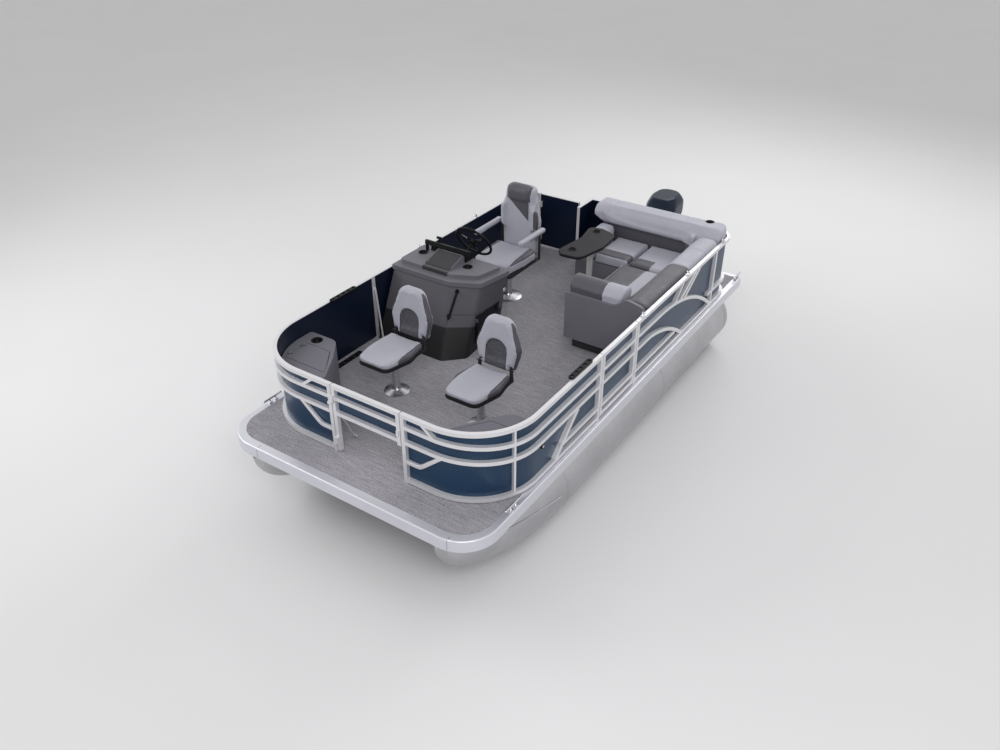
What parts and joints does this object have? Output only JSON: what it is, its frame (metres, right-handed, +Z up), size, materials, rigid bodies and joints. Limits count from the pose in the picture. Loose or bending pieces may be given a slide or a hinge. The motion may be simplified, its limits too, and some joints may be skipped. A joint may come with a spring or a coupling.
{
  "type": "pontoon boat",
  "caption": "Small pontoon boat with a railed deck, helm console, swivel fishing chairs, L-shaped lounge with table, and a tilting outboard motor.",
  "frame": {"origin": "on the floor under the middle of the boat's box, at the bottom of the keels", "axes": "+X to port, +Y aft along the boat, +Z up"},
  "size_m": [2.438, 5.79, 1.855],
  "materials": {
    "tube_aluminium": "satin, welded",
    "frame_aluminium": "mill finish",
    "trim_aluminium": "bright anodised",
    "deck_vinyl": "woven vinyl",
    "hardware_steel": "polished",
    "fence_rail": "satin powder coat",
    "fence_panel": "metallic blue",
    "console_body": "graphite, fine grain",
    "console_kick": "black, fine grain",
    "console_top": "mid grey, fine grain",
    "black_plastic": "satin",
    "black_rubber": "soft grip",
    "vinyl_light": "light grey vinyl",
    "vinyl_charcoal": "charcoal vinyl",
    "post_aluminium": "brushed",
    "lounge_plastic": "mid grey, fine grain",
    "table_plastic": "charcoal",
    "post_white": "off-white",
    "box_plastic": "grey, fine grain",
    "chrome_fittings": "polished",
    "motor_black": "gloss black",
    "engine_block": "cast"
  },
  "bodies": {
    "hull": {"pontoon_port": "tube_aluminium", "pontoon_starboard": "tube_aluminium", "deck_frame": "frame_aluminium", "deck_floor": "deck_vinyl", "deck_trim": "trim_aluminium", "motor_pod": "tube_aluminium", "bow_eyes": "hardware_steel", "deck_cleats": "hardware_steel", "fence_bow_port": "fence_rail", "fence_bow_starboard": "fence_rail", "fence_port_aft": "fence_rail", "fence_starboard": "fence_rail", "fence_panels": "fence_panel", "console_shell": "console_body", "console_grab": "black_plastic", "console_top": "console_top", "console_dash": "black_plastic", "throttle_control": "black_plastic", "seat_pedestals": "post_aluminium", "lounge_base": "lounge_plastic", "lounge_port_bolster": "vinyl_light", "lounge_stern_bolster": "vinyl_light", "lounge_arms": "vinyl_charcoal", "lounge_corner_seat": "vinyl_light", "lounge_stern_seat": "vinyl_light", "table_top": "table_plastic", "table_post": "post_white", "livewell_box": "box_plastic", "storage_box": "box_plastic", "rod_racks": "black_plastic", "canopy_brackets": "chrome_fittings", "motor_bracket": "motor_black"},
    "bow_gate": {"bow_gate_frame": "fence_rail", "bow_gate_panel": "fence_panel"},
    "port_gate": {"port_gate_frame": "fence_rail", "port_gate_panel": "fence_panel"},
    "stern_gate": {"stern_gate_frame": "fence_rail", "stern_gate_panel": "fence_panel"},
    "console_door": {"console_door": "console_kick"},
    "steering_wheel": {"steering_wheel": "black_rubber"},
    "chair_port": {"chair_port_shell": "black_plastic", "chair_port_cushion": "vinyl_light"},
    "chair_port_back": {"chair_port_back": "vinyl_light"},
    "chair_starboard": {"chair_starboard_shell": "black_plastic", "chair_starboard_cushion": "vinyl_light"},
    "chair_starboard_back": {"chair_starboard_back": "vinyl_light"},
    "helm_chair": {"helm_seat_shell": "black_plastic", "helm_seat_cushion": "vinyl_light", "helm_back_cushion": "vinyl_light"},
    "helm_arm_port": {"helm_arm_port": "vinyl_light"},
    "helm_arm_starboard": {"helm_arm_starboard": "vinyl_light"},
    "lounge_port_seat": {"lounge_port_seat": "vinyl_light"},
    "livewell_lid": {"livewell_lid": "box_plastic"},
    "storage_lid": {"storage_lid": "box_plastic"},
    "motor_swivel": {"motor_swivel": "motor_black"},
    "motor": {"motor_leg": "motor_black", "motor_cowl": "motor_black", "motor_powerhead": "engine_block"},
    "propeller": {"propeller": "motor_black"}
  },
  "joints": [
    {"name": "bow_gate_hinge", "type": "hinge", "parent": "hull", "child": "bow_gate", "pos_m": [-0.277, -2.584, 1.045], "axis": [0, 0, -1], "range_deg": [0, 90]},
    {"name": "port_gate_hinge", "type": "hinge", "parent": "hull", "child": "port_gate", "pos_m": [1.1345, -1.091, 1.045], "axis": [0, 0, 1], "range_deg": [0, 90]},
    {"name": "stern_gate_hinge", "type": "hinge", "parent": "hull", "child": "stern_gate", "pos_m": [-0.955, 1.4475, 1.045], "axis": [0, 0, -1], "range_deg": [0, 90]},
    {"name": "console_door_hinge", "type": "hinge", "parent": "hull", "child": "console_door", "pos_m": [-0.226, -0.778, 0.945], "axis": [0, 0, -1], "range_deg": [0, 100]},
    {"name": "steering_wheel_turn", "type": "hinge", "parent": "hull", "child": "steering_wheel", "pos_m": [-0.6, -0.287, 1.545], "axis": [0, -0.866, -0.5], "range_deg": [-720, 720]},
    {"name": "chair_port_swivel", "type": "hinge", "parent": "hull", "child": "chair_port", "pos_m": [0.432, -1.674, 1.045], "axis": [0, 0, 1], "continuous": true},
    {"name": "chair_port_fold", "type": "hinge", "parent": "chair_port", "child": "chair_port_back", "pos_m": [0.432, -1.473, 1.193], "axis": [1, 0, 0], "range_deg": [0, 90]},
    {"name": "chair_starboard_swivel", "type": "hinge", "parent": "hull", "child": "chair_starboard", "pos_m": [-0.432, -1.674, 1.045], "axis": [0, 0, 1], "continuous": true},
    {"name": "chair_starboard_fold", "type": "hinge", "parent": "chair_starboard", "child": "chair_starboard_back", "pos_m": [-0.432, -1.473, 1.193], "axis": [1, 0, 0], "range_deg": [0, 90]},
    {"name": "helm_chair_swivel", "type": "hinge", "parent": "hull", "child": "helm_chair", "pos_m": [-0.588, 0.269, 1.095], "axis": [0, 0, 1], "continuous": true},
    {"name": "helm_arm_port_lift", "type": "hinge", "parent": "helm_chair", "child": "helm_arm_port", "pos_m": [-0.343, 0.491, 1.433], "axis": [-1, 0, 0], "range_deg": [0, 95]},
    {"name": "helm_arm_starboard_lift", "type": "hinge", "parent": "helm_chair", "child": "helm_arm_starboard", "pos_m": [-0.833, 0.491, 1.433], "axis": [-1, 0, 0], "range_deg": [0, 95]},
    {"name": "lounge_port_seat_hinge", "type": "hinge", "parent": "hull", "child": "lounge_port_seat", "pos_m": [0.8935, 0.405, 1.148], "axis": [0, 1, 0], "range_deg": [0, 75]},
    {"name": "livewell_lid_hinge", "type": "hinge", "parent": "hull", "child": "livewell_lid", "pos_m": [-1.0375, -2.17, 1.202], "axis": [0, -1, 0], "range_deg": [0, 85]},
    {"name": "storage_lid_hinge", "type": "hinge", "parent": "hull", "child": "storage_lid", "pos_m": [1.0375, -2.17, 1.152], "axis": [0, 1, 0], "range_deg": [0, 85]},
    {"name": "motor_tilt", "type": "hinge", "parent": "hull", "child": "motor_swivel", "pos_m": [0, 2.34, 0.79], "axis": [1, 0, 0], "range_deg": [0, 70]},
    {"name": "motor_steer", "type": "hinge", "parent": "motor_swivel", "child": "motor", "pos_m": [0, 2.425, 0.65], "axis": [0, 0, 1], "range_deg": [-30, 30]},
    {"name": "propeller_spin", "type": "hinge", "parent": "motor", "child": "propeller", "pos_m": [0, 2.65, 0.127], "axis": [0, 1, 0], "continuous": true}
  ],
  "couplings": [
    {"joint": "steering_wheel_turn", "follows": "motor_steer", "ratio": 24}
  ]
}
